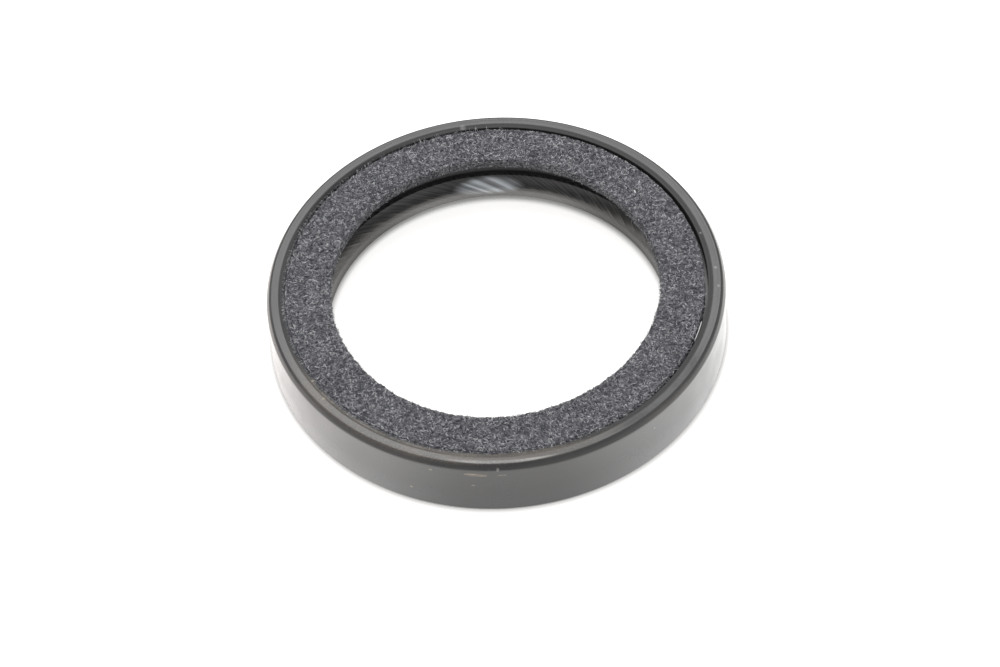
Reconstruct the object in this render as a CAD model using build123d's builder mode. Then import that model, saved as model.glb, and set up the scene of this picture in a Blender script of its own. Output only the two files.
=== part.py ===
from build123d import *
import math
import os

# Radial shaft seal with a rubber covered case and a felt dust ring, in millimetres.
# The seal's axis is Z. Its oil side stands on Z = 0 and its air side, with the felt, faces +Z.

# What it fits
shaft_diameter = 52.0
housing_bore = 68.0
seal_height = 10.0

# Pressed steel case ring, of L section
case_wall = 1.0
case_bend = 0.5
case_cover = 0.9
case_end_cover = 0.9
flange_cover = 0.7
flange_reach = 3.6

# Sealing lip
lip_interference = 0.6
lip_edge_height = 0.75
nose_clearance = 0.1
oil_face_angle = 50.0
air_face_angle = 25.0
air_face_height = 3.4
shelf_width = 0.9
shelf_rise = 0.3
membrane_round = 0.8
waist_height = 4.0
waist_thickness = 1.8
root_round = 1.0

# Garter spring and its groove in the back of the lip
spring_tube_radius = 0.8
spring_height = 1.8
spring_offset = 2.25
spring_clearance = 0.03
groove_lip = 0.3
nose_round = 0.4
back_shoulder = 0.25

# Helical pumping ribs on the air face of the lip
rib_count = 60
rib_width = 0.5
rib_height = 0.05
rib_lead_angle = 26.0
rib_edge_gap = 0.45
rib_rise = 2.8
rib_root = 0.15
rib_spans = 3

# Outer edge, rim and felt recess
foot_round = 0.3
foot_chamfer = 0.25
shoulder_height = 0.9
shoulder_depth = 0.5
shoulder_round = 1.2
crest_round = 0.6
step_drop = 0.1
step_slope_width = 0.2
step_round = 0.1
ledge_width = 0.5
recess_depth = 1.75
rim_width = 2.6
seat_width = 2.9

# Felt dust ring
felt_thickness = 1.6
felt_interference = 1.2
felt_side_gap = 0.3
felt_edge = 0.15

# Worked out from the values above
outer_radius = housing_bore / 2
lip_edge_radius = shaft_diameter / 2 - lip_interference
felt_bore_radius = shaft_diameter / 2 - felt_interference

case_outer_radius = outer_radius - case_cover
case_inner_radius = case_outer_radius - case_wall
flange_inner_radius = lip_edge_radius + flange_reach
seat_height = seal_height - recess_depth
flange_top = seat_height - flange_cover
flange_under = flange_top - case_wall

recess_radius = outer_radius - rim_width
seat_inner_radius = recess_radius - seat_width
felt_outer_radius = recess_radius - felt_side_gap

air_face_slope = math.tan(math.radians(air_face_angle))
oil_face_slope = math.tan(math.radians(oil_face_angle))
air_face_top = lip_edge_height + air_face_height
nose_inner_radius = lip_edge_radius + (lip_edge_height - nose_clearance) * oil_face_slope

spring_radius = lip_edge_radius + spring_offset
groove_radius = spring_tube_radius + spring_clearance
head_radius = spring_radius + groove_lip
groove_half_mouth = math.sqrt(groove_radius**2 - groove_lip**2)
groove_low = spring_height - groove_half_mouth
groove_high = spring_height + groove_half_mouth


def air_face_radius(height):
    """Radius of the lip's air face, a cone that opens upwards from the sealing edge."""
    return lip_edge_radius + (height - lip_edge_height) * air_face_slope


# L section of the case ring, which both the ring and the rubber round it use
with BuildSketch() as case_section:
    bend_outer = case_bend + case_wall
    with BuildLine():
        Polyline(
            (case_outer_radius, flange_top - bend_outer),
            (case_outer_radius, case_end_cover),
            (case_inner_radius, case_end_cover),
            (case_inner_radius, flange_under - case_bend),
        )
        TangentArc(
            (case_inner_radius, flange_under - case_bend),
            (case_inner_radius - case_bend, flange_under),
            tangent=(0, 1),
        )
        Polyline(
            (case_inner_radius - case_bend, flange_under),
            (flange_inner_radius, flange_under),
            (flange_inner_radius, flange_top),
            (case_outer_radius - bend_outer, flange_top),
        )
        TangentArc(
            (case_outer_radius - bend_outer, flange_top),
            (case_outer_radius, flange_top - bend_outer),
            tangent=(1, 0),
        )
    make_face()

# Case ring: one L shaped steel pressing that stiffens the seal
with BuildPart() as case_ring:
    with BuildSketch(Plane.XZ):
        add(case_section.sketch)
    revolve(axis=Axis.Z)

# One pumping rib: a low ridge of triangular section that climbs the air face as a helix
with BuildPart() as pumping_rib:
    face_lean = math.radians(air_face_angle)
    rib_lead = math.radians(rib_lead_angle)
    rib_start = lip_edge_height + rib_edge_gap
    rib_turn = rib_rise / math.tan(rib_lead) / air_face_radius(rib_start + rib_rise / 2)
    for span in range(rib_spans + 1):
        height = rib_start + rib_rise * span / rib_spans
        turn = rib_turn * span / rib_spans
        outwards = Vector(math.cos(turn), math.sin(turn), 0)
        around = Vector(-math.sin(turn), math.cos(turn), 0)
        up_the_face = outwards * math.sin(face_lean) + Vector(0, 0, math.cos(face_lean))
        off_the_face = Vector(0, 0, math.sin(face_lean)) - outwards * math.cos(face_lean)
        rib_plane = Plane(
            origin=outwards * air_face_radius(height) + Vector(0, 0, height),
            x_dir=off_the_face,
            z_dir=around * math.cos(rib_lead) + up_the_face * math.sin(rib_lead),
        )
        with BuildSketch(rib_plane):
            with BuildLine():
                Polyline(
                    (-rib_root, -rib_width / 2),
                    (0, -rib_width / 2),
                    (rib_height, 0),
                    (0, rib_width / 2),
                    (-rib_root, rib_width / 2),
                    close=True,
                )
            make_face()
    loft(ruled=True)

# Rubber body: outer cover, felt recess, membrane and sealing lip, moulded round the case ring
with BuildPart() as rubber_body:
    with BuildSketch(Plane.XZ):
        with BuildLine():
            Polyline(
                (air_face_radius(air_face_top), air_face_top),
                (lip_edge_radius, lip_edge_height),
                (nose_inner_radius, nose_clearance),
                (head_radius - nose_round, nose_clearance),
            )
            TangentArc(
                (head_radius - nose_round, nose_clearance),
                (head_radius, nose_clearance + nose_round),
                tangent=(1, 0),
            )
            Line((head_radius, nose_clearance + nose_round), (head_radius, groove_low))
            ThreePointArc(
                (head_radius, groove_low),
                (spring_radius - groove_radius, spring_height),
                (head_radius, groove_high),
            )
            waist_radius = air_face_radius(waist_height) + waist_thickness
            Polyline(
                (head_radius, groove_high),
                (head_radius + back_shoulder, groove_high + back_shoulder),
                (waist_radius, waist_height),
            )
            FilletPolyline(
                (waist_radius, waist_height),
                (flange_inner_radius, flange_under),
                (case_inner_radius - case_bend, flange_under),
                radius=root_round,
            )
            TangentArc(
                (case_inner_radius - case_bend, flange_under),
                (case_inner_radius, flange_under - case_bend),
                tangent=(1, 0),
            )
            Polyline(
                (case_inner_radius, flange_under - case_bend),
                (case_inner_radius, foot_chamfer),
                (case_inner_radius + foot_chamfer, 0),
                (outer_radius - foot_round, 0),
            )
            TangentArc(
                (outer_radius - foot_round, 0),
                (outer_radius, foot_round),
                tangent=(1, 0),
            )
            step_foot = recess_radius + ledge_width
            FilletPolyline(
                (outer_radius, foot_round),
                (outer_radius, seal_height - shoulder_height),
                (outer_radius - shoulder_depth, seal_height),
                (step_foot + step_slope_width, seal_height),
                (step_foot, seal_height - step_drop),
                (recess_radius, seal_height - step_drop),
                (recess_radius, seat_height),
                radius=[shoulder_round, crest_round, step_round, step_round, step_round],
            )
            Line((recess_radius, seat_height), (seat_inner_radius, seat_height))
            lip_top_radius = air_face_radius(air_face_top)
            FilletPolyline(
                (seat_inner_radius, seat_height),
                (lip_top_radius + shelf_width, air_face_top + shelf_rise),
                (lip_top_radius, air_face_top),
                radius=membrane_round,
            )
        make_face()
        add(case_section.sketch, mode=Mode.SUBTRACT)
    revolve(axis=Axis.Z)
    with PolarLocations(0, rib_count):
        add(pumping_rib.part)

# Garter spring: the closed ring that its fine coil fills
with BuildPart() as garter_spring:
    with BuildSketch(Plane.XZ):
        with Locations((spring_radius, spring_height)):
            Circle(spring_tube_radius)
    revolve(axis=Axis.Z)

# Felt ring: non-woven dust ring bonded to its seat on the air side
with BuildPart() as felt_ring:
    with BuildSketch(Plane.XZ):
        with BuildLine():
            Polyline(
                (felt_bore_radius, seat_height),
                (felt_outer_radius, seat_height),
                (felt_outer_radius, seat_height + felt_thickness - felt_edge),
                (felt_outer_radius - felt_edge, seat_height + felt_thickness),
                (felt_bore_radius + felt_edge, seat_height + felt_thickness),
                (felt_bore_radius, seat_height + felt_thickness - felt_edge),
                close=True,
            )
        make_face()
    revolve(axis=Axis.Z)

rubber_body.part.label = "rubber_body"
case_ring.part.label = "case_ring"
garter_spring.part.label = "garter_spring"
felt_ring.part.label = "felt_ring"

os.makedirs("parts", exist_ok=True)
export_step(rubber_body.part, "parts/rubber_body.step")
export_step(case_ring.part, "parts/case_ring.step")
export_step(garter_spring.part, "parts/garter_spring.step")
export_step(felt_ring.part, "parts/felt_ring.step")
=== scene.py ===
import math
import random

import bpy
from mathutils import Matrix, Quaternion, Vector, noise


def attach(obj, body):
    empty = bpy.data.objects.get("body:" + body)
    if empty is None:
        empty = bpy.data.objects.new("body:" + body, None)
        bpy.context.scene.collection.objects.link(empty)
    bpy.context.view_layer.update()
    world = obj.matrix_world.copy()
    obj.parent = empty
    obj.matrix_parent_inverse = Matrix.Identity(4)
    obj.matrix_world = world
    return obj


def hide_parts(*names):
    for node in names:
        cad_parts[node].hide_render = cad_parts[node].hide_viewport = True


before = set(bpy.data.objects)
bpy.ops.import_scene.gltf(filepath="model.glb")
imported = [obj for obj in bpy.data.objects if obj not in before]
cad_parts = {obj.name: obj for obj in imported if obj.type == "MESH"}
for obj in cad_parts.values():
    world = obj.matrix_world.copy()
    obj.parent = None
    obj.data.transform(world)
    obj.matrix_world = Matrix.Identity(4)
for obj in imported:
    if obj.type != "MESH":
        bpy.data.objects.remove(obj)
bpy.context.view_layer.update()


# Case ring: an L shaped ring pressed from 1 mm steel sheet, which stiffens the seal.
# The rubber is moulded round it, so only its inner wall and the underside of its flange show,
# and both keep the satin grey skin and the fine draw marks of the press.
case_outer_radius = 33.1
case_inner_radius = 32.1
case_end_height = 0.9
flange_inner_radius = 29.0
flange_under = 6.55
flange_top = 7.55
case_bend = 0.5
bend_outer = case_bend + case_outer_radius - case_inner_radius
case_columns = 360
sharp_angle = math.radians(35)
case_grey = (0.42, 0.42, 0.43, 1)
draw_mark_grey = (0.27, 0.27, 0.275, 1)


def bend(start, heading, end, steps):
    """Points after start on the arc that leaves it along heading and comes round to end."""
    start, heading, end = Vector(start), Vector(heading).normalized(), Vector(end)
    chord = end - start
    across = Vector((-heading.y, heading.x))
    centre = start + across * (chord.length_squared / (2 * chord.dot(across)))
    sweep = 2 * math.atan2(heading.x * chord.y - heading.y * chord.x, heading.dot(chord))
    points = []
    for step in range(1, steps + 1):
        turn = sweep * step / steps
        spoke = start - centre
        points.append((
            centre.x + spoke.x * math.cos(turn) - spoke.y * math.sin(turn),
            centre.y + spoke.x * math.sin(turn) + spoke.y * math.cos(turn),
        ))
    return points


def new_piece(name, points, faces):
    """Make a smooth mesh of points in metres and its object, which stays with the seal."""
    mesh = bpy.data.meshes.new(name)
    mesh.from_pydata(points, [], faces)
    mesh.polygons.foreach_set("use_smooth", [True] * len(faces))
    piece = bpy.data.objects.new(name, mesh)
    bpy.context.collection.objects.link(piece)
    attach(piece, "root")
    return piece


def turned_ring(name, profile, columns, place=None):
    """Turn a closed (radius, height) profile in millimetres round the seal's axis."""
    points = []
    for row, (radius, height) in enumerate(profile):
        for column in range(columns):
            angle = 2 * math.pi * column / columns
            r, z, a = place(row, radius, height, angle) if place else (radius, height, angle)
            points.append((r * math.cos(a) / 1000, r * math.sin(a) / 1000, z / 1000))
    faces = []
    rows = len(profile)
    for row in range(rows):
        above = (row + 1) % rows
        for column in range(columns):
            beside = (column + 1) % columns
            faces.append((
                row * columns + column,
                row * columns + beside,
                above * columns + beside,
                above * columns + column,
            ))
    piece = new_piece(name, points, faces)
    piece.data.set_sharp_from_angle(angle=sharp_angle)
    return piece


def give(tree, node, inputs):
    """Give a node its input values, and link the inputs that come from another node."""
    for socket, value in inputs.items():
        if isinstance(value, bpy.types.NodeSocket):
            tree.links.new(value, node.inputs[socket])
        else:
            node.inputs[socket].default_value = value


def put(tree, kind, inputs=None, **settings):
    """Add a node, with its settings, its input values and the links into it."""
    node = tree.nodes.new(kind)
    for setting, value in settings.items():
        setattr(node, setting, value)
    give(tree, node, inputs or {})
    return node


def worked(tree, operation, *values):
    """Result of a sum on numbers."""
    return put(tree, "ShaderNodeMath", dict(enumerate(values)), operation=operation).outputs[0]


def times(tree, first, *others):
    """Product of two or more numbers."""
    for other in others:
        first = worked(tree, "MULTIPLY", first, other)
    return first


def vector_worked(tree, operation, *values):
    """Result of a sum on vectors, which is a number for a length and a dot product."""
    result = "Value" if operation in ("LENGTH", "DOT_PRODUCT") else "Vector"
    return put(tree, "ShaderNodeVectorMath", dict(enumerate(values)), operation=operation).outputs[result]


def scaled(tree, vector, factor):
    """Vector made longer or shorter by a factor."""
    node = put(tree, "ShaderNodeVectorMath", {0: vector, "Scale": factor}, operation="SCALE")
    return node.outputs["Vector"]


def eased(tree, value, start, end, low=0.0, high=1.0, way="SMOOTHSTEP"):
    """Number that goes from low to high while a value goes from start to end."""
    return put(
        tree, "ShaderNodeMapRange",
        {"Value": value, "From Min": start, "From Max": end, "To Min": low, "To Max": high},
        interpolation_type=way,
    ).outputs[0]


def mixed(tree, share, first, second, kind="RGBA"):
    """Mix of two colours, or of two numbers where the kind is FLOAT."""
    mix = put(tree, "ShaderNodeMix", {"Factor": share, "A": first, "B": second}, data_type=kind)
    return mix.outputs["Result"]


def place_on_seal(tree):
    """A point's X, Y and Z, its X and Y as a flat vector, and its distance from the axis."""
    place = put(tree, "ShaderNodeTexCoord").outputs["Object"]
    xyz = put(tree, "ShaderNodeSeparateXYZ", {0: place}).outputs
    flat = put(tree, "ShaderNodeCombineXYZ", {"X": xyz["X"], "Y": xyz["Y"]}).outputs[0]
    return xyz, flat, vector_worked(tree, "LENGTH", flat)


def new_group(name, inputs):
    """Start a node group with named inputs, numbers or vectors, and one output, Amount."""
    tree = bpy.data.node_groups.new(name, "ShaderNodeTree")
    for socket, value in inputs.items():
        kind = "NodeSocketVector" if isinstance(value, tuple) else "NodeSocketFloat"
        tree.interface.new_socket(name=socket, in_out="INPUT", socket_type=kind).default_value = value
    tree.interface.new_socket(name="Amount", in_out="OUTPUT", socket_type="NodeSocketFloat")
    return tree, tree.nodes.new("NodeGroupInput").outputs, tree.nodes.new("NodeGroupOutput").inputs


def grouped(tree, group, inputs):
    """Amount that a node group gives for its inputs."""
    return put(tree, "ShaderNodeGroup", inputs, node_tree=group).outputs["Amount"]


def new_finish(name):
    """Start a material, and give its node tree and its surface shader."""
    finish = bpy.data.materials.new(name)
    finish.use_nodes = True
    return finish, finish.node_tree, finish.node_tree.nodes["Principled BSDF"]


# Cloudy spots of any size in millimetres, the same all round the seal
clouds, given, result = new_group("clouds", {"Size mm": 1.0, "Offset": 0.0, "Low": 0.35, "High": 0.65})
place = put(clouds, "ShaderNodeTexCoord").outputs["Object"]
spread = scaled(clouds, place, worked(clouds, "DIVIDE", 1000.0, given["Size mm"]))
moved = vector_worked(clouds, "ADD", spread, given["Offset"])
cloud = put(clouds, "ShaderNodeTexNoise", {"Vector": moved, "Scale": 1.0, "Detail": 3.0, "Roughness": 0.55})
limits = eased(clouds, cloud.outputs["Fac"], given["Low"], given["High"])
clouds.links.new(limits, result["Amount"])

# Marks drawn out along the ring, such as tool marks, draw marks and fine handling scratches
ring_marks, given, result = new_group("ring marks", {"Pitch mm": 0.15, "Turns": 3.0, "Low": 0.4, "High": 0.6})
xyz, flat, reach = place_on_seal(ring_marks)
wide = scaled(ring_marks, vector_worked(ring_marks, "NORMALIZE", flat), given["Turns"])
marks_per_metre = worked(ring_marks, "DIVIDE", 1000.0, given["Pitch mm"])
across = times(ring_marks, worked(ring_marks, "ADD", reach, xyz["Z"]), marks_per_metre)
tall = put(ring_marks, "ShaderNodeCombineXYZ", {"Z": across}).outputs[0]
drawn = vector_worked(ring_marks, "ADD", wide, tall)
mark = put(ring_marks, "ShaderNodeTexNoise", {"Vector": drawn, "Scale": 1.0, "Detail": 2.0}).outputs["Fac"]
limits = eased(ring_marks, mark, given["Low"], given["High"])
ring_marks.links.new(limits, result["Amount"])

case_steel, tree, shader = new_finish("case steel")
marks = grouped(tree, ring_marks, {"Pitch mm": 0.25, "Turns": 5.0, "Low": 0.35, "High": 0.7})
stains = grouped(tree, clouds, {"Size mm": 3.0, "Low": 0.4, "High": 0.75})
relief = put(tree, "ShaderNodeBump", {"Height": marks, "Strength": 0.25, "Distance": 0.00003})
give(tree, shader, {
    "Base Color": mixed(tree, stains, case_grey, draw_mark_grey),
    "Roughness": eased(tree, marks, 0, 1, 0.28, 0.45, "LINEAR"),
    "Normal": relief.outputs[0],
    "Metallic": 1.0,
})

case_profile = [(case_outer_radius, case_end_height), (case_outer_radius, flange_top - bend_outer)]
case_profile += bend(case_profile[-1], (0, 1), (case_outer_radius - bend_outer, flange_top), 8)
case_profile += [(flange_inner_radius, flange_top), (flange_inner_radius, flange_under)]
case_profile += [(case_inner_radius - case_bend, flange_under)]
case_profile += bend(case_profile[-1], (1, 0), (case_inner_radius, flange_under - case_bend), 6)
case_profile += [(case_inner_radius, case_end_height)]
case_ring = turned_ring("case_steel_ring", case_profile, case_columns)
case_ring.data.materials.append(case_steel)
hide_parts("case_ring")


# Rubber body: black nitrile rubber moulded over the case in one piece, with the outer cover,
# the rim, the seat for the felt, the membrane and the sealing lip. The lip's air face carries
# fine helical ribs, which pump leaking oil back under the edge as the shaft turns.
outer_radius = 34.0
seal_height = 10.0
foot_round = 0.3
foot_chamfer = 0.25
wall_top = 8.6
shoulder_height = 9.08
shoulder_round = 0.72
crest_radius = 33.5
crest_round = 0.65
land_inner = 32.25
land_flat_end = 32.4
land_edge_round = 0.6
land_middle = 32.55
land_half_width = 0.5
land_crown = 0.02
step_foot_radius = 31.92
step_foot_drop = 0.03
step_round = 0.15
ledge_height = 9.9
ledge_bead = 0.03
bead_radius = 31.65
recess_radius = 31.4
recess_edge_drop = 0.02
recess_edge_round = 0.05
seat_height = 8.25
seat_inner_radius = 28.5
lip_edge_radius = 25.5
lip_edge_height = 0.9
air_face_top = 4.15
lip_slopes = ((0.85, 0.2, 0.2), (1.6, 0.2, 0.48), (3.25, 0.48, 0.64))
nose_radius = 26.174
nose_height = 0.1
nose_round = 0.4
head_radius = 27.95
groove_height = 1.8
groove_lip = 0.3
groove_half_mouth = 0.774
back_shoulder = 0.25
shelf_start = (27.3, 4.26)
shelf_end = (27.885, 4.45)
membrane_round = 0.8
waist = (28.716, 4.0)
root_round = 1.0
rib_count = 60
rib_height = 0.010
rib_half_width = 0.5
rib_lead = math.radians(26)
rib_start = 2.0
rib_end = 3.95
rib_spans = 17
rib_run_in = 0.25
rib_run_out = 0.3
off_the_face = (-0.91, 0.41)
rubber_columns = 720
rubber_black = (0.022, 0.022, 0.023, 1)
rubber_bloom = (0.040, 0.039, 0.038, 1)
darker_ledge_black = (0.016, 0.016, 0.016, 1)
grime_brown = (0.105, 0.092, 0.078, 1)
glint_blue = (0.80, 0.86, 0.92, 1)
rib_sheen_grey = (0.085, 0.083, 0.080, 1)
wear_and_highlight_grey = (0.30, 0.29, 0.28, 1)
dust_beige = (0.36, 0.31, 0.24, 1)


def air_face_radius(height):
    """Radius of the lip's air face: a steep band above the sealing edge, then a cone that opens upwards."""
    radius, start, climb = lip_edge_radius, 0, height - lip_edge_height
    for end, low_slope, high_slope in lip_slopes:
        part = min(max(climb - start, 0), end - start)
        radius += part * low_slope + part ** 2 * (high_slope - low_slope) / (2 * (end - start))
        start = end
    return radius


def round_off(before, corner, after, radius, steps):
    """Points of a corner of the profile that is rounded to a radius."""
    before, corner, after = Vector(before), Vector(corner), Vector(after)
    back, on = (before - corner).normalized(), (after - corner).normalized()
    setback = radius / math.tan(back.angle(on) / 2)
    start, end = corner + back * setback, corner + on * setback
    return [tuple(start)] + bend(start, -back, end, steps)


def evenly(start, end, steps):
    """Points after start on the straight line to end."""
    return [tuple(Vector(start).lerp(Vector(end), step / steps)) for step in range(1, steps + 1)]


# The outline starts at the top of the air face and runs down it, round the nose and the groove
above_ribs = [air_face_top, 4.03]
along_ribs = [rib_end - (rib_end - rib_start) * step / rib_spans for step in range(rib_spans + 1)]
below_ribs = [1.9, 1.75, 1.45, 1.15, 0.97]
air_face = [(air_face_radius(height), height) for height in above_ribs + along_ribs + below_ribs]

lip_edge, nose = (lip_edge_radius, lip_edge_height), (nose_radius, nose_height)
nose_end, head_foot = (head_radius - nose_round, nose_height), (head_radius, nose_height + nose_round)
groove_low = (head_radius, groove_height - groove_half_mouth)
groove_high = (head_radius, groove_height + groove_half_mouth)
rubber_profile = air_face + [lip_edge] + evenly(lip_edge, nose, 2)
rubber_profile += [nose_end] + bend(nose_end, (1, 0), head_foot, 4)
rubber_profile += [groove_low] + bend(groove_low, (-groove_half_mouth, -groove_lip), groove_high, 12)
rubber_profile += [(head_radius + back_shoulder, groove_high[1] + back_shoulder), waist]

# It goes on round the case's flange and outer wall, to which the rubber is bonded
flange_edge = (flange_inner_radius, flange_under)
rubber_profile += round_off(waist, flange_edge, (case_inner_radius, flange_under), root_round, 6)
rubber_profile += [flange_edge]
rubber_profile += [(flange_inner_radius, flange_top), (case_outer_radius - bend_outer, flange_top)]
rubber_profile += bend(rubber_profile[-1], (1, 0), (case_outer_radius, flange_top - bend_outer), 8)
rubber_profile += [(case_outer_radius, case_end_height), (case_inner_radius, case_end_height)]

# Then it climbs the outer wall, crosses the rim and comes back over the seat and the membrane
foot_end, wall_foot = (outer_radius - foot_round, 0), (outer_radius, foot_round)
wall_head, shoulder = (outer_radius, wall_top), (outer_radius, shoulder_height)
crest, land_edge = (crest_radius, seal_height), (land_inner, seal_height)
step_foot, bead = (step_foot_radius, ledge_height - step_foot_drop), (bead_radius, ledge_height + ledge_bead)
recess_edge, seat_edge = (recess_radius, ledge_height - recess_edge_drop), (recess_radius, seat_height)
seat_end = (seat_inner_radius, seat_height)
rubber_profile += [(case_inner_radius, foot_chamfer), (case_inner_radius + foot_chamfer, 0), foot_end]
rubber_profile += bend(foot_end, (1, 0), wall_foot, 5) + evenly(wall_foot, wall_head, 2)
rubber_profile += round_off(wall_head, shoulder, crest, shoulder_round, 6)
rubber_profile += round_off(shoulder, crest, land_edge, crest_round, 10)
rubber_profile += evenly(rubber_profile[-1], (land_flat_end, seal_height), 4)
rubber_profile += round_off(crest, land_edge, step_foot, land_edge_round, 5)
rubber_profile += round_off(land_edge, step_foot, bead, step_round, 3)
rubber_profile += round_off(step_foot, bead, recess_edge, step_round, 3)
rubber_profile += round_off(bead, recess_edge, seat_edge, recess_edge_round, 3)
rubber_profile += [seat_edge] + evenly(seat_edge, seat_end, 2)
membrane = [shelf_start] + round_off(shelf_start, shelf_end, seat_end, membrane_round, 10)
membrane += evenly(membrane[-1], seat_end, 3)
rubber_profile += membrane[-2::-1]

full_turn = (rib_end - rib_start) / math.tan(rib_lead) / air_face_radius((rib_start + rib_end) / 2)
membrane_start = len(rubber_profile) - len(membrane) + 1


def place_rubber(row, radius, height, angle):
    """Crown the land, turn the lip's rows so that the ribs run along the mesh, and raise the ribs."""
    if row >= membrane_start:
        share = (row - membrane_start + 1) / len(membrane)
        return radius, height, angle + full_turn * share
    if row >= len(air_face):
        if height > seal_height - 0.001:
            height -= land_crown * ((radius - land_middle) / land_half_width) ** 2
        return radius, height, angle
    climb = min(max((height - rib_start) / (rib_end - rib_start), 0), 1)
    pitch = 2 * math.pi / rib_count
    off_crest = abs((angle + pitch / 2) % pitch - pitch / 2) * radius
    ridge = 0.5 + 0.5 * math.cos(math.pi * min(1, off_crest / rib_half_width))
    ridge *= rib_height * min(1, climb / rib_run_in, (1 - climb) / rib_run_out)
    return radius + ridge * off_the_face[0], height + ridge * off_the_face[1], angle + full_turn * climb


# A patch of the seal round a radius and a height, which fades out to the sides of one direction
patch, given, result = new_group("patch", {
    "Towards": (1.0, 0.0, 0.0), "Half angle": 20.0, "Radius mm": 33.0, "Height mm": 10.0,
    "Radius reach mm": 1.0, "Height reach mm": 1.0,
})
xyz, flat, reach = place_on_seal(patch)
facing = vector_worked(patch, "DOT_PRODUCT", vector_worked(patch, "NORMALIZE", flat), given["Towards"])
degrees_off = times(patch, worked(patch, "ARCCOSINE", facing), math.degrees(1))
shares_off = [worked(patch, "DIVIDE", degrees_off, given["Half angle"])]
for metres, measure in ((reach, "Radius"), (xyz["Z"], "Height")):
    off = worked(patch, "SUBTRACT", times(patch, metres, 1000.0), given[f"{measure} mm"])
    shares_off.append(worked(patch, "DIVIDE", off, given[f"{measure} reach mm"]))
off_middle = put(patch, "ShaderNodeCombineXYZ", dict(enumerate(shares_off))).outputs[0]
inside = eased(patch, vector_worked(patch, "LENGTH", off_middle), 1.0, 0.5)
patch.links.new(inside, result["Amount"])


def towards(degrees):
    """Direction in the seal's plane, at an angle from its X axis."""
    return (math.cos(math.radians(degrees)), math.sin(math.radians(degrees)), 0.0)


rubber, tree, shader = new_finish("black rubber")
bloom = grouped(tree, clouds, {"Size mm": 6.0, "Low": 0.38, "High": 0.7})
grain = grouped(tree, clouds, {"Size mm": 0.35, "Offset": 7.0, "Low": 0.3, "High": 0.8})
tool_marks = grouped(tree, ring_marks, {"Pitch mm": 0.16, "Turns": 9.0, "Low": 0.45, "High": 0.8})
skin = worked(tree, "MULTIPLY_ADD", tool_marks, 0.4, times(tree, bloom, 0.5))
colour = mixed(tree, skin, rubber_black, rubber_bloom)
gloss = eased(tree, skin, 0, 1, 0.27, 0.40, "LINEAR")

# The step, the ledge and the recess wall inside the land are coloured darker and made matt.
# Limits of reach and height in a finish are in metres.
darkening_start, darkening_full, darkening_bottom = 0.0322, 0.0320, 0.0083
ledge_roughness = 0.62
xyz, flat, reach = place_on_seal(tree)
on_rim = worked(tree, "GREATER_THAN", xyz["Z"], darkening_bottom)
darkened_ledge = times(tree, eased(tree, reach, darkening_start, darkening_full), on_rim)
colour = mixed(tree, darkened_ledge, colour, darker_ledge_black)
gloss = mixed(tree, darkened_ledge, gloss, ledge_roughness, "FLOAT")

# The lip's air face is moulded against a polished core, so it is glossier than the rest
lip_reach, lip_top = 0.0272, 0.0045
polished_roughness = 0.2
inside = worked(tree, "LESS_THAN", reach, lip_reach)
lip_face = times(tree, inside, worked(tree, "LESS_THAN", xyz["Z"], lip_top))
gloss = mixed(tree, lip_face, gloss, polished_roughness, "FLOAT")

# Brown dirt from the bench on one side of the rim, a rubbed crest whose pale colour is a painted highlight, a
# scuff and specks of dust
rim_marks = [
    # towards, half angle, radius, height, radius reach, height reach, colour, strength, roughness
    (236, 50, 32.6, 10.0, 1.6, 0.8, grime_brown, 0.75, 0.3),
    (268, 24, 32.0, 10.0, 0.9, 0.8, grime_brown, 0.7, 0.6),
    (285, 26, 32.6, 10.0, 0.9, 0.6, grime_brown, 0.35, 0.6),
    (315, 11, 33.8, 9.5, 0.9, 0.8, grime_brown, 0.3, 0.5),
    (316, 24, 32.7, 10.0, 1.0, 0.6, rubber_black, 0.55, 0.6),
    # rubbed near crest: glossier, and its pale grey is a painted highlight
    (268, 17, 33.08, 9.98, 0.36, 0.3, wear_and_highlight_grey, 0.75, 0.25),
    (137, 34, 31.65, 9.9, 0.5, 0.4, darker_ledge_black, 0.8, 1.0),
    (262, 3.6, 34.0, 8.1, 0.5, 0.5, dust_beige, 0.30, 0.6),
    (260.8, 2.2, 34.0, 8.22, 0.5, 0.26, dust_beige, 0.8, 0.6),
    (263.5, 1.6, 34.0, 8.0, 0.5, 0.22, dust_beige, 0.6, 0.6),
    (268.4, 1.6, 34.0, 8.05, 0.5, 0.22, dust_beige, 0.55, 0.6),
    (267.4, 0.5, 33.9, 9.24, 0.5, 0.4, wear_and_highlight_grey, 0.8, 0.5),
    (309.2, 0.45, 34.0, 6.84, 0.5, 0.24, dust_beige, 0.7, 0.6),
    (261.2, 0.6, 34.0, 5.65, 0.5, 0.2, dust_beige, 0.7, 0.6),
    (250.8, 0.6, 34.0, 8.18, 0.5, 0.24, dust_beige, 0.8, 0.6),
    (245.4, 0.5, 34.0, 2.94, 0.5, 0.24, dust_beige, 0.8, 0.6),
    (216.4, 0.5, 32.34, 10.0, 0.3, 0.4, dust_beige, 0.7, 0.6),
    (209.7, 0.5, 31.69, 9.92, 0.3, 0.4, dust_beige, 0.7, 0.6),
    (184.8, 0.5, 31.58, 9.92, 0.3, 0.4, wear_and_highlight_grey, 0.9, 0.6),
    (0.8, 0.6, 32.61, 10.0, 0.28, 0.4, wear_and_highlight_grey, 0.8, 0.4),
    (354.6, 0.6, 32.9, 10.0, 0.28, 0.4, wear_and_highlight_grey, 0.8, 0.4),
    (13.5, 0.45, 31.84, 9.92, 0.22, 0.4, wear_and_highlight_grey, 0.6, 0.5),
    (96, 1.0, 31.93, 9.92, 0.6, 0.4, wear_and_highlight_grey, 0.5, 0.5),
]
dirt_and_highlight_smear = grouped(tree, clouds, {"Size mm": 0.45, "Offset": 15.0, "Low": 0.38, "High": 0.62})
dirt_and_highlight_smear = worked(tree, "MULTIPLY_ADD", dirt_and_highlight_smear, 0.6, bloom)
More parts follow.
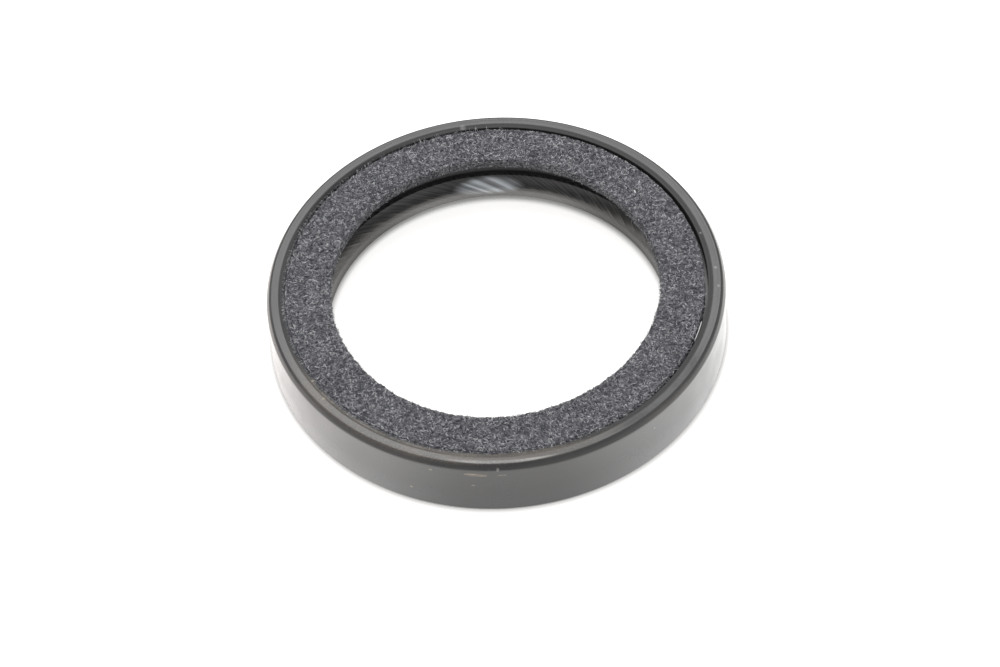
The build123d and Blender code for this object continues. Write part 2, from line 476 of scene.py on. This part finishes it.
for direction, half_angle, radius, height, radius_reach, height_reach, tint, strength, roughness in rim_marks:
    mark = grouped(tree, patch, {
        "Towards": towards(direction), "Half angle": half_angle, "Radius mm": radius, "Height mm": height,
        "Radius reach mm": radius_reach, "Height reach mm": height_reach,
    })
    smeared = eased(tree, dirt_and_highlight_smear, 0, 1.6, 0.45 * strength, min(1, 1.25 * strength), "LINEAR")
    amount = times(tree, mark, smeared)
    colour = mixed(tree, amount, colour, tint)
    gloss = mixed(tree, amount, gloss, roughness, "FLOAT")

# Fine pale dust lies in the dirty part of the rim
dust_strength = 0.28
dust = grouped(tree, clouds, {"Size mm": 0.2, "Offset": 31.0, "Low": 0.52, "High": 0.66})
dusty = grouped(tree, patch, {
    "Towards": towards(250), "Half angle": 62.0, "Radius mm": 32.2, "Height mm": 10.0,
    "Radius reach mm": 1.8, "Height reach mm": 0.8,
})
colour = mixed(tree, times(tree, dusty, dust, dust_strength), colour, dust_beige)

# Fine pale stripes along the ribs all round the lip are a painted sheen, and pale bluish streaks on its far
# part are a painted glint. Both follow the distance in millimetres across the ribs.
lip_middle_radius = 26.0
rib_sheen_strength = 0.42
glint_strength = 0.95
angle = worked(tree, "ARCTAN2", xyz["Y"], xyz["X"])
round_lip = times(tree, angle, -lip_middle_radius * math.sin(rib_lead))
across = worked(tree, "MULTIPLY_ADD", xyz["Z"], 1000 * math.cos(rib_lead), round_lip)
sheen_lines, glint_lines = [
    put(tree, "ShaderNodeTexNoise", {"W": across, "Scale": per_mm, "Detail": 1.0}, noise_dimensions="1D")
    for per_mm in (3.2, 1.5)
]
# Painted sheen: paler stripes along the ribs on the lip's air face
rib_sheen = eased(tree, sheen_lines.outputs["Fac"], 0.42, 0.62, 0.0, rib_sheen_strength)
colour = mixed(tree, times(tree, rib_sheen, lip_face), colour, rib_sheen_grey)
glint_streaks = eased(tree, glint_lines.outputs["Fac"], 0.33, 0.72, 0.3, 1.0)
# Painted glint: pale bluish streaks on the far part of the lip's air face
glint_patch = grouped(tree, patch, {
    "Towards": towards(90), "Half angle": 13.0, "Radius mm": 26.1, "Height mm": 2.7,
    "Radius reach mm": 2.5, "Height reach mm": 1.6,
})
colour = mixed(tree, times(tree, glint_patch, glint_streaks, glint_strength), colour, glint_blue)

relief = put(tree, "ShaderNodeBump", {"Height": grain, "Strength": 0.15, "Distance": 0.00002})
give(tree, shader, {"Base Color": colour, "Roughness": gloss, "Normal": relief.outputs[0], "IOR": 1.62})

rubber_body = turned_ring("rubber_seal_body", rubber_profile, rubber_columns, place_rubber)
rubber_body.data.materials.append(rubber)
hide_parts("rubber_body")


# Garter spring: a close wound coil of thin spring wire, joined end to end into a ring that
# sits in the groove at the back of the lip and presses its edge on the shaft.
spring_ring_radius = 27.65
spring_tube_radius = 0.8
wire_radius = 0.175
coil_radius = spring_tube_radius - wire_radius
coil_turns = 488
points_per_turn = 14
wire_sides = 7
wire_grey = (0.52, 0.51, 0.49, 1)


def at(radius, angle, height):
    """Place at a distance from the seal's axis, an angle round it and a height."""
    return Vector((radius * math.cos(angle), radius * math.sin(angle), height))


count = coil_turns * points_per_turn
turns = [2 * math.pi * step / count for step in range(count)]
centres = []
for turn in turns:
    in_coil = turn * coil_turns
    height = groove_height + coil_radius * math.sin(in_coil)
    centres.append(at(spring_ring_radius + coil_radius * math.cos(in_coil), turn, height))
points = []
for step, centre in enumerate(centres):
    ahead = (centres[(step + 1) % count] - centres[step - 1]).normalized()
    outwards = (centre - at(spring_ring_radius, turns[step], groove_height)).normalized()
    outwards = (outwards - ahead * outwards.dot(ahead)).normalized()
    sideways = ahead.cross(outwards)
    for side in range(wire_sides):
        turn = 2 * math.pi * side / wire_sides
        points.append((centre + (outwards * math.cos(turn) + sideways * math.sin(turn)) * wire_radius) / 1000)
faces = []
for step in range(count):
    ahead = (step + 1) % count
    for side in range(wire_sides):
        beside = (side + 1) % wire_sides
        faces.append((
            step * wire_sides + side, ahead * wire_sides + side,
            ahead * wire_sides + beside, step * wire_sides + beside,
        ))
spring = new_piece("garter_spring_coil", points, faces)

spring_steel, tree, shader = new_finish("spring steel")
oil_film = grouped(tree, clouds, {"Size mm": 1.6, "Offset": 3.0})
give(tree, shader, {
    "Base Color": wire_grey,
    "Roughness": eased(tree, oil_film, 0, 1, 0.22, 0.38, "LINEAR"),
    "Metallic": 1.0,
})
spring.data.materials.append(spring_steel)
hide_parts("garter_spring")


# Felt dust ring: needled synthetic felt, die cut to a ring and bonded to its seat in the rim.
# Its body is lumpy and its cut edges are fuzzy, and pale and dark loose fibres lie all over it.
# The ring sits a little to the left in its recess, and its punched hole is slightly out of round.
felt_bore = 24.8
felt_outer = 31.1
felt_bottom = 8.25
felt_top = 9.85
outer_edge_round = 0.25
hole_edge_round = 0.2
felt_columns = 720
hole_inset = 0.21
hole_waves = ((1, 0.172, 143), (2, 0.135, 86.5), (3, 0.056, 8), (4, 0.073, -13))
ring_offset = 0.18
ring_offset_towards = 188
lump_depth = 0.07
lumps_per_mm = 1.1
hole_fray = 0.10
outer_fray = 0.05
frays_per_mm = 0.8
fray_place = Vector((40, 0, 0))
edge_width = 0.1
strands_per_metre = 900.0
felt_dark = (0.038, 0.039, 0.047, 1)
felt_mid = (0.120, 0.122, 0.138, 1)
felt_pale = (0.41, 0.41, 0.435, 1)
dark_fibre_grey = (0.064, 0.066, 0.079, 1)
grey_fibre_grey = (0.23, 0.234, 0.255, 1)
pale_fibre_grey = (0.68, 0.68, 0.70, 1)
lint_white = (0.93, 0.93, 0.92, 1)

hole_foot, outer_foot = (felt_bore, felt_bottom), (felt_outer, felt_bottom)
outer_low, outer_high = (felt_outer, felt_top - outer_edge_round), (felt_outer - outer_edge_round, felt_top)
hole_high, hole_low = (felt_bore + hole_edge_round, felt_top), (felt_bore, felt_top - hole_edge_round)
felt_profile = [hole_foot] + evenly(hole_foot, outer_foot, 4) + evenly(outer_foot, outer_low, 5)
felt_profile += bend(outer_low, (0, 1), outer_high, 3) + evenly(outer_high, hole_high, 26)
felt_profile += bend(hole_high, (-1, 0), hole_low, 3) + evenly(hole_low, hole_foot, 5)[:-1]


def place_felt(radius, height, angle):
    """Give the felt its lumps, its uneven cut edges and its place in the recess."""
    here = at(radius, angle, height)
    lump = noise.fractal(here * lumps_per_mm, 1.0, 2.0, 4)
    fray = noise.fractal(here * frays_per_mm + fray_place, 1.0, 2.0, 3)
    at_hole = max(0, min(1, (felt_outer - radius) / (felt_outer - felt_bore)))
    hole_shift = -hole_inset
    for bulges, size, direction in hole_waves:
        hole_shift += size * math.cos(bulges * (angle - math.radians(direction)))
    ring_shift = ring_offset * math.cos(angle - math.radians(ring_offset_towards)) * (1 - at_hole)
    at_edge = 0
    if radius < felt_bore + edge_width:
        at_edge = hole_fray
    elif radius > felt_outer - edge_width:
        at_edge = outer_fray
    if height > felt_bottom + edge_width:
        height += lump_depth * lump
    return radius + hole_shift * at_hole + ring_shift + at_edge * fray, height, angle


felt_body = turned_ring("felt_ring_body", felt_profile, felt_columns, lambda row, *spot: place_felt(*spot))

felt, tree, shader = new_finish("grey felt")
blotches = grouped(tree, clouds, {"Size mm": 2.2, "Offset": 11.0, "Low": 0.3, "High": 0.7})
tufts = grouped(tree, clouds, {"Size mm": 0.45, "Offset": 5.0, "Low": 0.38, "High": 0.64})
colour = mixed(tree, tufts, felt_dark, felt_mid)
place = put(tree, "ShaderNodeTexCoord").outputs["Object"]
spread = vector_worked(tree, "MULTIPLY", place, (strands_per_metre,) * 3)
fuzz = None
for layer in range(3):
    moved = vector_worked(tree, "ADD", spread, (13.0 * layer, 5.0, 0.0))
    curls = put(tree, "ShaderNodeTexNoise", {"Vector": moved, "Scale": 1.0 + 0.35 * layer, "Detail": 2.0})
    line = worked(tree, "ABSOLUTE", worked(tree, "SUBTRACT", curls.outputs["Fac"], 0.5))
    strands = eased(tree, line, 0.012, 0.04, 1.0, 0.0)
    fuzz = worked(tree, "MAXIMUM", fuzz, strands) if fuzz else strands
share = worked(tree, "MULTIPLY_ADD", blotches, 0.35, 0.20)
height = worked(tree, "MULTIPLY_ADD", fuzz, 0.5, tufts)
relief = put(tree, "ShaderNodeBump", {"Height": height, "Strength": 0.8, "Distance": 0.00012})
give(tree, shader, {
    "Base Color": mixed(tree, times(tree, fuzz, share), colour, felt_pale),
    "Roughness": 0.95,
    "Specular IOR Level": 0.2,
    "Normal": relief.outputs[0],
})
felt_body.data.materials.append(felt)
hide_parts("felt_ring")

fibre_finishes = []
for name, dull, bright in (
    ("dark felt fibre", felt_dark, dark_fibre_grey),
    ("grey felt fibre", felt_mid, grey_fibre_grey),
    ("pale felt fibre", grey_fibre_grey, pale_fibre_grey),
    ("white lint", pale_fibre_grey, lint_white),
):
    fibre, tree, shader = new_finish(name)
    spots = grouped(tree, clouds, {"Size mm": 0.8, "Offset": 21.0, "Low": 0.25, "High": 0.6})
    give(tree, shader, {"Base Color": mixed(tree, spots, dull, bright), "Roughness": 0.6})
    fibre_finishes.append(fibre)

fibre_sides = 3
fibre_spans = 3
fibre_bend = 0.35
fibre_root = 0.08
hole_margin = 0.05
outer_margin = 0.12
nearly_up = Vector((0.1, 0.2, 1))


def lay_fibres(name, fibres):
    """Make one mesh of thin bent fibres, each given as a list of points, a thickness and a shade."""
    points, faces, shades = [], [], []
    for path, thickness, shade in fibres:
        first = len(points)
        for step, here in enumerate(path):
            ahead = (path[min(step + 1, len(path) - 1)] - path[max(step - 1, 0)]).normalized()
            side = ahead.cross(nearly_up).normalized()
            lift = side.cross(ahead)
            taper = thickness * (0.5 if step in (0, len(path) - 1) else 1)
            for corner in range(fibre_sides):
                turn = 2 * math.pi * corner / fibre_sides
                points.append((here + (side * math.cos(turn) + lift * math.sin(turn)) * taper) / 1000)
        for step in range(len(path) - 1):
            for corner in range(fibre_sides):
                beside = (corner + 1) % fibre_sides
                low, high = first + step * fibre_sides, first + (step + 1) * fibre_sides
                faces.append((low + corner, low + beside, high + beside, high + corner))
                shades.append(shade)
    piece = new_piece(name, points, faces)
    for fibre in fibre_finishes:
        piece.data.materials.append(fibre)
    piece.data.polygons.foreach_set("material_index", shades)


def lying_path(chance, radius, angle, length, curl, arch, sunk):
    """A fibre's path over the top of the felt, from a starting place."""
    x, y = radius * math.cos(angle), radius * math.sin(angle)
    heading = chance.uniform(0, 2 * math.pi)
    path = []
    for step in range(fibre_spans + 1):
        kept = min(max(math.hypot(x, y), felt_bore + hole_margin), felt_outer - outer_margin)
        r, z, a = place_felt(kept, felt_top, math.atan2(y, x))
        path.append(at(r, a, z + arch * math.sin(math.pi * step / fibre_spans) - sunk))
        x += math.cos(heading) * length / fibre_spans
        y += math.sin(heading) * length / fibre_spans
        heading += curl + chance.gauss(0, fibre_bend)
    return path


def stray_path(radius, angle, height, out, sideways, up, bow_sideways, bow_up, length):
    """A fibre's path that leaves a cut edge of the felt from a little inside it and bows on its way."""
    r, z, a = place_felt(radius, height, angle)
    start = at(r, angle, z)
    around = Vector((-math.sin(angle), math.cos(angle), 0))
    way = (at(1, angle, 0) * out + around * sideways + Vector((0, 0, up))).normalized()
    bow = around * bow_sideways + Vector((0, 0, bow_up))
    path = []
    for step in range(fibre_spans + 1):
        t = step / fibre_spans
        path.append(start + way * (length * t - fibre_root) + bow * (t * (1 - t)) * length)
    return path


# Fibres that lie on the felt: a darker, thicker mat under finer and paler ones
layer_fibre_count = 10800
chance = random.Random(7)
for name, shades, thin, thick in (
    ("felt_mat_fibres", (0, 0, 1, 1, 1, 2), 0.04, 0.065),
    ("felt_top_fibres", (0, 1, 1, 2, 2), 0.028, 0.05),
):
    fibres = []
    for fibre in range(layer_fibre_count):
        path = lying_path(
            chance,
            math.sqrt(chance.uniform(felt_bore ** 2, felt_outer ** 2)),
            chance.uniform(0, 2 * math.pi),
            chance.uniform(0.3, 0.8),
            chance.gauss(0, 0.6),
            chance.uniform(0.0, 0.12),
            chance.uniform(-0.03, 0.03),
        )
        fibres.append((path, chance.uniform(thin, thick), chance.choice(shades)))
    lay_fibres(name, fibres)

# Fibres that stand out of the hole's cut edge, paler on the far side as a painted highlight of that edge
edge_fibre_count = 4200
edge_fibres = []
for fibre in range(edge_fibre_count):
    angle = chance.uniform(0, 2 * math.pi)
    path = stray_path(
        felt_bore, angle, chance.uniform(felt_bottom + 0.2, felt_top),
        -chance.uniform(0.1, 1), chance.gauss(0, 0.8), chance.gauss(0.1, 0.5),
        chance.gauss(0, 0.5), chance.gauss(0, 0.4), chance.uniform(0.15, 0.6),
    )
    # more pale fibres on the far side: a painted highlight
    shades = (1, 1, 2, 2) if math.sin(angle) > chance.uniform(0.3, 0.9) else (0, 1, 1, 2)
    edge_fibres.append((path, chance.uniform(0.02, 0.04), chance.choice(shades)))
lay_fibres("felt_edge_fibres", edge_fibres)

# Fibres that bridge the gap to the ledge, most of them on the near side and some on the far
# side, and lie on the ledge where they reach it. Many of the tries leave their place bare.
gap_fibre_tries = 4800
above_ledge = 0.03
ledge_margin = 0.04
gap_fibres = []
for fibre in range(gap_fibre_tries):
    angle = math.radians(chance.uniform(0, 360))
    near_side = math.cos(angle - math.radians(235))
    far_side = max(0, math.cos(angle - math.radians(92))) ** 8
    if chance.random() > min(1, 0.38 + 0.8 * near_side + 0.45 * far_side):
        continue
    path = stray_path(
        felt_outer, angle, felt_top - abs(chance.gauss(0, 0.28)),
        chance.uniform(0.2, 1), chance.gauss(0, 0.7), chance.gauss(0, 0.2),
        chance.gauss(0, 0.5), abs(chance.gauss(0, 0.3)), chance.uniform(0.25, 0.75),
    )
    for here in path:
        if math.hypot(here.x, here.y) > recess_radius - ledge_margin:
            here.z = max(here.z, ledge_height + above_ledge)
    gap_fibres.append((path, chance.uniform(0.03, 0.05), chance.choice((0, 1, 1, 1, 2))))
lay_fibres("felt_gap_fibres", gap_fibres)

# One white speck of lint on the felt, and one thin white line that lies along the gap
white_finish = 3
lint = []
for degrees, radii, height, thickness in (
    ((36.3, 36.7, 37.1, 37.5), (27.16, 27.22, 27.30, 27.38), 10.05, 0.18),
    ((342.0, 341.2, 339.4, 337.2, 334.9), (31.26, 31.27, 31.29, 31.31, 31.33), 9.98, 0.08),
):
    path = [at(radius, math.radians(angle), height) for angle, radius in zip(degrees, radii)]
    lint.append((path, thickness, white_finish))
lay_fibres("felt_lint", lint)


# Studio: a plain white table inside a white tent that is brighter at its sides, with one large
# soft lamp high above the far side. The table lies a hair below the seal's foot and is clear
# from below, so that the oil side can be looked at.
table_half_width = 3
table_top = -0.00001
paper_white = (0.90, 0.885, 0.85, 1)
contact_shadow_brown = (0.05, 0.045, 0.035, 1)
plain_white = (1, 1, 1, 1)
table_pink = (1, 0.94, 0.93, 1)
cloth_pink = (1, 0.96, 0.955, 1)
hole_warmth = (1, 0.965, 0.935, 1)
hole_reach = 0.0300
contact_reach = 0.0012
table_glow = 0.7

table_mesh = bpy.data.meshes.new("white_table")
table_corners = [
    (x * table_half_width, y * table_half_width, table_top)
    for x, y in ((-1, -1), (1, -1), (1, 1), (-1, 1))
]
table_mesh.from_pydata(table_corners, [], [(0, 1, 2, 3)])
table = bpy.data.objects.new("white_table", table_mesh)
bpy.context.collection.objects.link(table)

table_white = bpy.data.materials.new("white table")
table_white.use_nodes = True
tree = table_white.node_tree
tree.nodes.clear()
ray = put(tree, "ShaderNodeLightPath").outputs
# Painted contact shadow: the table's colour and its glow darken to brown where ambient occlusion finds the
# seal close by
contact = put(tree, "ShaderNodeAmbientOcclusion", {"Distance": contact_reach}, samples=8).outputs["AO"]
unshadowed_share = eased(tree, contact, 0.3, 0.85, 0.3, 1.0, "LINEAR")
paper = put(tree, "ShaderNodeBsdfDiffuse", {"Color": mixed(tree, unshadowed_share, contact_shadow_brown, paper_white)})

# Rays off the glossy rubber see the table with a painted glow: brighter at the sides, darker far away and
# faintly pink on the left. Inside the seal the glow is warmer and grows brighter towards the lip, with
# painted shade right under the lip and towards the sides.
place = put(tree, "ShaderNodeTexCoord").outputs["Object"]
xyz = put(tree, "ShaderNodeSeparateXYZ", {0: place}).outputs
reach = vector_worked(tree, "LENGTH", place)
sideways = worked(tree, "ABSOLUTE", worked(tree, "DIVIDE", xyz["X"], reach))
beside_seal = eased(tree, sideways, 0.15, 0.7, 1.1, 1.9)
falling_off = eased(tree, reach, 0.045, 0.11, 1.0, 0.1)
near_lip = eased(tree, reach, 0.0185, 0.0225, 0.9, 2.8)
under_lip = eased(tree, reach, 0.0232, 0.0252, 1.0, 0.2)
dim_sides = eased(tree, sideways, 0.3, 0.68, 1.0, 0.46)
hole_floor = times(tree, near_lip, under_lip, dim_sides)
within = worked(tree, "LESS_THAN", reach, hole_reach)
mirrored = mixed(tree, within, times(tree, beside_seal, falling_off), hole_floor, "FLOAT")
in_gloss = times(tree, ray["Is Glossy Ray"], mirrored)
in_view = times(tree, unshadowed_share, table_glow)
glow = worked(tree, "MULTIPLY_ADD", ray["Is Camera Ray"], in_view, in_gloss)
on_left = times(tree, eased(tree, xyz["X"], -0.01, -0.05), ray["Is Glossy Ray"])
in_hole = times(tree, within, ray["Is Glossy Ray"])
tint = mixed(tree, in_hole, mixed(tree, on_left, plain_white, table_pink), hole_warmth)
shine = put(tree, "ShaderNodeEmission", {"Color": tint, "Strength": glow})
lit = put(tree, "ShaderNodeAddShader", {0: paper.outputs[0], 1: shine.outputs[0]})
below = put(tree, "ShaderNodeNewGeometry").outputs["Backfacing"]
clear = put(tree, "ShaderNodeBsdfTransparent")
surface = put(tree, "ShaderNodeMixShader", {0: below, 1: lit.outputs[0], 2: clear.outputs[0]})
put(tree, "ShaderNodeOutputMaterial", {"Surface": surface.outputs[0]})
table_white.use_transparent_shadow = False
table.data.materials.append(table_white)

world = bpy.data.worlds.new("studio")
bpy.context.scene.world = world
world.use_nodes = True
tree = world.node_tree
tree.nodes.clear()
place = put(tree, "ShaderNodeTexCoord").outputs["Generated"]
xyz = put(tree, "ShaderNodeSeparateXYZ", {0: place}).outputs
tint = mixed(tree, eased(tree, xyz["X"], -0.1, -0.7), plain_white, cloth_pink)
open_side = eased(tree, worked(tree, "ABSOLUTE", xyz["X"]), 0.2, 0.9, 0.55, 0.9)
tent = put(tree, "ShaderNodeBackground", {"Color": tint, "Strength": open_side})
backdrop = put(tree, "ShaderNodeBackground", {"Color": plain_white, "Strength": 1.0})
seen = put(tree, "ShaderNodeLightPath").outputs["Is Camera Ray"]
sky = put(tree, "ShaderNodeMixShader", {0: seen, 1: tent.outputs[0], 2: backdrop.outputs[0]})
put(tree, "ShaderNodeOutputWorld", {"Surface": sky.outputs[0]})

lamp_data = bpy.data.lights.new("top lamp", "AREA")
lamp_data.shape = "RECTANGLE"
lamp_data.size = 0.75
lamp_data.size_y = 0.7
lamp_data.energy = 5.1
lamp = bpy.data.objects.new("top lamp", lamp_data)
bpy.context.collection.objects.link(lamp)
lamp.location = (-0.08, 0.47, 0.82)
lamp.rotation_mode = "QUATERNION"
lamp.rotation_quaternion = (-lamp.location).to_track_quat("-Z", "Y")
lamp.visible_camera = False


# Camera: a long lens at two thirds of a metre, which looks down on the seal at 50 degrees and
# is rolled by four degrees.
view_distance = 0.66036
view_elevation = math.radians(50.463)
view_roll = -0.06938
view_centre = Vector((0.00015, -0.00064, -0.00053))
camera_data = bpy.data.cameras.new("camera")
camera_data.lens = 159.01
camera_data.sensor_width = 36.0
camera_data.clip_start = 0.01
camera_data.clip_end = 20.0
camera = bpy.data.objects.new("camera", camera_data)
bpy.context.collection.objects.link(camera)
camera.location = (0, -view_distance * math.cos(view_elevation), view_distance * math.sin(view_elevation))
camera.rotation_mode = "QUATERNION"
aim = (view_centre - camera.location).to_track_quat("-Z", "Y")
camera.rotation_quaternion = aim @ Quaternion((0, 0, 1), view_roll)
bpy.context.scene.camera = camera
bpy.context.scene.view_settings.view_transform = "Standard"
